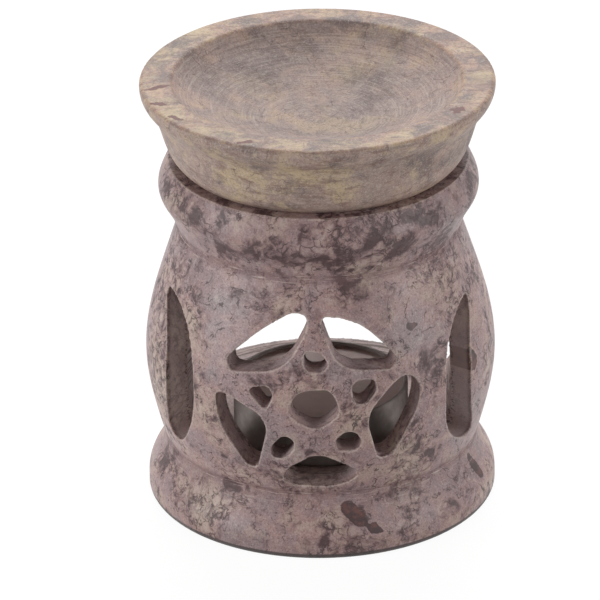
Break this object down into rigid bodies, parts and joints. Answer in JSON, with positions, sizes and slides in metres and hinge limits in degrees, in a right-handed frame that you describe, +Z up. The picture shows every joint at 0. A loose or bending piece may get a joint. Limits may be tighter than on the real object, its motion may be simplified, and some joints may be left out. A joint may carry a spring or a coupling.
{
  "type": "essential oil burner",
  "caption": "Carved soapstone oil burner: hollow barrel stand pierced with a star in a ring, back door for a tealight, and a turned lift-off dish for oil on its collar.",
  "frame": {"origin": "centre of the foot's underside, on the surface that the burner stands on", "axes": "+Z up along the turning axis, -Y towards the carved star, +Y towards the tealight door"},
  "size_m": [0.0762, 0.0762, 0.0964],
  "materials": {
    "stand_stone": "satin, hand rubbed, mauve-grey with dark veins",
    "dish_stone": "satin, lathe turned, beige-grey",
    "cup_metal": "dull pressed foil",
    "wax": "paraffin wax, muted mauve, unlit",
    "wick_cotton": "braided cotton, waxed",
    "sustainer_metal": "tinned sheet"
  },
  "bodies": {
    "stand": {"burner_body": "stand_stone"},
    "dish": {"oil_dish": "dish_stone"},
    "tealight": {"tealight_cup": "cup_metal", "tealight_wax": "wax", "tealight_wick": "wick_cotton", "wick_sustainer": "sustainer_metal"}
  },
  "joints": [
    {"name": "dish_lift", "type": "slide", "parent": "stand", "child": "dish", "axis": [0, 0, 1], "range_m": [0, 0.06]},
    {"name": "tealight_draw", "type": "slide", "parent": "stand", "child": "tealight", "axis": [0, 0.9763, 0.2164], "range_m": [0, 0.07]}
  ]
}
